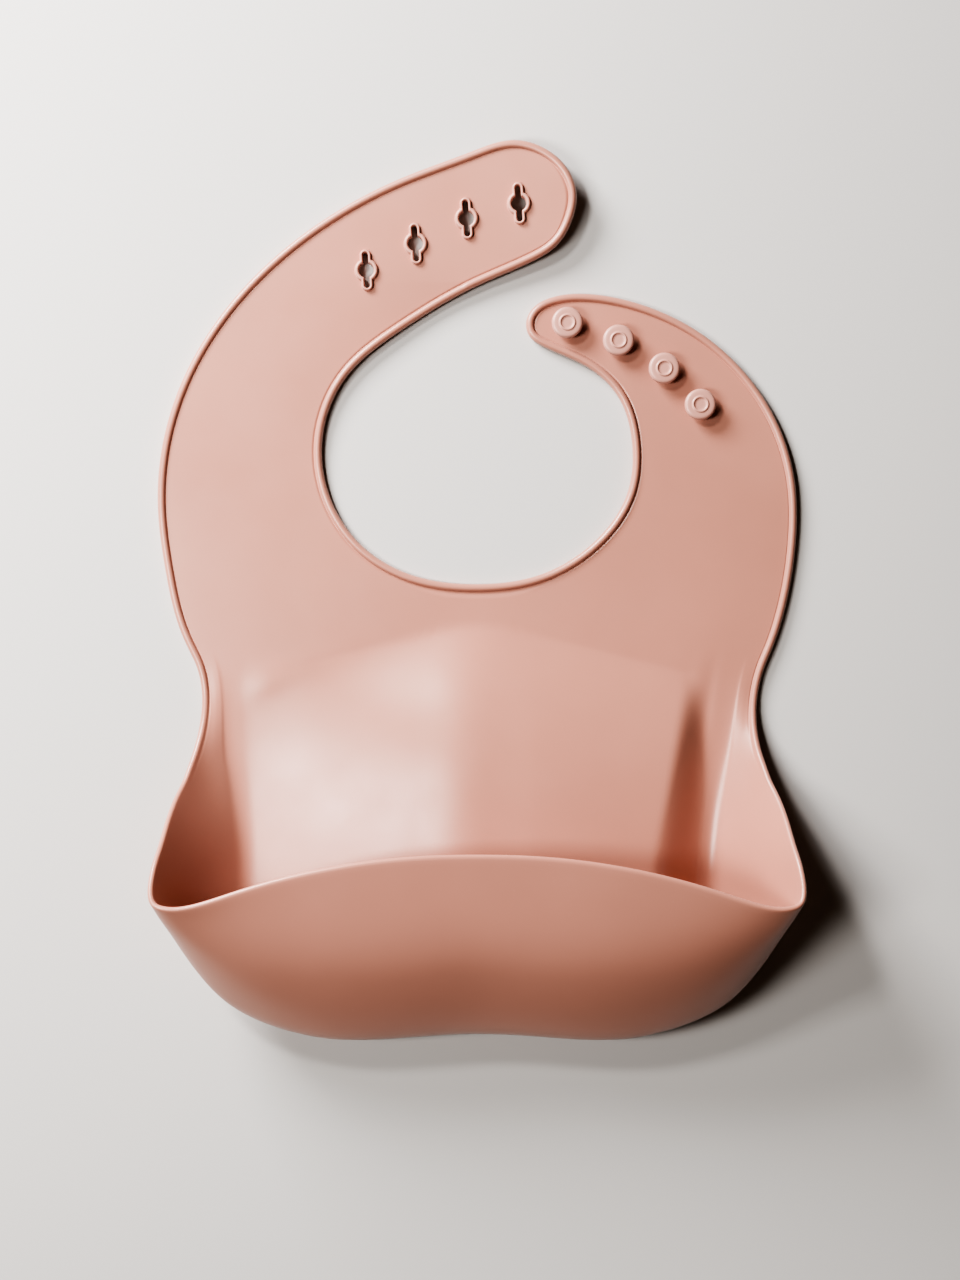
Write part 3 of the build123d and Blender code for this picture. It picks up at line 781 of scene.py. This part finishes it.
for number, button in enumerate(buttons, start=1):
    button.data.materials.append(button_silicone_painted_highlight)
    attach(button, "short_strap_tip")
    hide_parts(f"button_{number}")


# ---------------------------------------------------------------------------
# Stage: a plain pale floor, soft lights from the upper left, a pale surround, and a camera
# looking straight down.
# ---------------------------------------------------------------------------
floor_mesh = bpy.data.meshes.new("floor")
floor_half = 3.0
floor_mesh.from_pydata([(-floor_half, -floor_half, 0), (floor_half, -floor_half, 0),
                        (floor_half, floor_half, 0), (-floor_half, floor_half, 0)], [], [(0, 1, 2, 3)])
floor = bpy.data.objects.new("floor", floor_mesh)
bpy.context.scene.collection.objects.link(floor)
floor_paint = bpy.data.materials.new("pale_floor")
floor_paint.use_nodes = True
floor_shader = floor_paint.node_tree.nodes["Principled BSDF"]
floor_shader.inputs["Base Color"].default_value = (0.585, 0.56, 0.535, 1)
floor_shader.inputs["Roughness"].default_value = 0.9
floor_shader.inputs["Specular IOR Level"].default_value = 0.2
floor_mesh.materials.append(floor_paint)

# Far from the bib the floor and the surround turn an even pale grey, for the camera only.
far_grey = (0.50, 0.49, 0.48, 1)
haze_from, haze_to = 0.35, 1.3     # distance from the middle of the bib
floor_nodes, floor_link = floor_paint.node_tree.nodes, floor_paint.node_tree.links.new
place = floor_nodes.new("ShaderNodeTexCoord")
distance = floor_nodes.new("ShaderNodeVectorMath")
distance.operation = "LENGTH"
floor_link(place.outputs["Object"], distance.inputs[0])
far = floor_nodes.new("ShaderNodeMapRange")
far.interpolation_type = "SMOOTHSTEP"
far.inputs["From Min"].default_value = haze_from
far.inputs["From Max"].default_value = haze_to
floor_link(distance.outputs["Value"], far.inputs["Value"])
floor_path = floor_nodes.new("ShaderNodeLightPath")
seen = floor_nodes.new("ShaderNodeMath")
seen.operation = "MULTIPLY"
floor_link(far.outputs["Result"], seen.inputs[0])
floor_link(floor_path.outputs["Is Camera Ray"], seen.inputs[1])
haze = floor_nodes.new("ShaderNodeEmission")
haze.inputs["Color"].default_value = far_grey
mixed = floor_nodes.new("ShaderNodeMixShader")
floor_link(seen.outputs[0], mixed.inputs[0])
floor_link(floor_shader.outputs[0], mixed.inputs[1])
floor_link(haze.outputs[0], mixed.inputs[2])
floor_link(mixed.outputs[0], floor_nodes["Material Output"].inputs["Surface"])

surround = bpy.data.worlds.new("soft_surround")
bpy.context.scene.world = surround
surround.use_nodes = True
world_nodes, world_link = surround.node_tree.nodes, surround.node_tree.links.new
fill = world_nodes["Background"]
fill.inputs["Color"].default_value = (1.0, 0.76, 0.55, 1)
fill.inputs["Strength"].default_value = 0.04
backdrop = world_nodes.new("ShaderNodeBackground")
backdrop.inputs["Color"].default_value = far_grey
world_path = world_nodes.new("ShaderNodeLightPath")
chosen = world_nodes.new("ShaderNodeMixShader")
world_link(world_path.outputs["Is Camera Ray"], chosen.inputs[0])
world_link(fill.outputs[0], chosen.inputs[1])
world_link(backdrop.outputs[0], chosen.inputs[2])
world_link(chosen.outputs[0], world_nodes["World Output"].inputs["Surface"])


def soft_light(name, place, aim, width, depth, power, colour):
    """Rectangular studio light at a place, turned towards a point."""
    light = bpy.data.lights.new(name, "AREA")
    light.shape = "RECTANGLE"
    light.size, light.size_y = width, depth
    light.energy = power
    light.color = colour
    lamp = bpy.data.objects.new(name, light)
    lamp.location = place
    lamp.rotation_euler = (Vector(aim) - Vector(place)).to_track_quat("-Z", "Y").to_euler()
    bpy.context.scene.collection.objects.link(lamp)
    return lamp


soft_light("window", (-0.54, 0.60, 0.39), (-0.02, -0.02, 0.0), 0.40, 0.30, 13.6, (0.98, 0.985, 1.0))
soft_light("sheen", (-0.44, -0.07, 0.68), (-0.04, -0.04, 0.0), 0.15, 0.36, 4.0, (1.0, 0.99, 0.98))
soft_light("gleam", (-0.36, 0.36, 0.62), (-0.03, -0.02, 0.0), 0.10, 0.10, 2.2, (1.0, 0.99, 0.98))

camera_height = 0.70
frame_height = 0.4288              # height of the table that the picture takes in
camera_data = bpy.data.cameras.new("camera")
camera_data.sensor_fit = "VERTICAL"
camera_data.sensor_height = 24.0
camera_data.lens = camera_data.sensor_height / 2 / (frame_height / 2 / camera_height)
camera = bpy.data.objects.new("camera", camera_data)
camera.location = (0.0009, -0.01735, camera_height)
bpy.context.scene.collection.objects.link(camera)
bpy.context.scene.camera = camera
bpy.context.scene.view_settings.view_transform = "AgX"
bpy.context.scene.view_settings.look = "AgX - Very High Contrast"
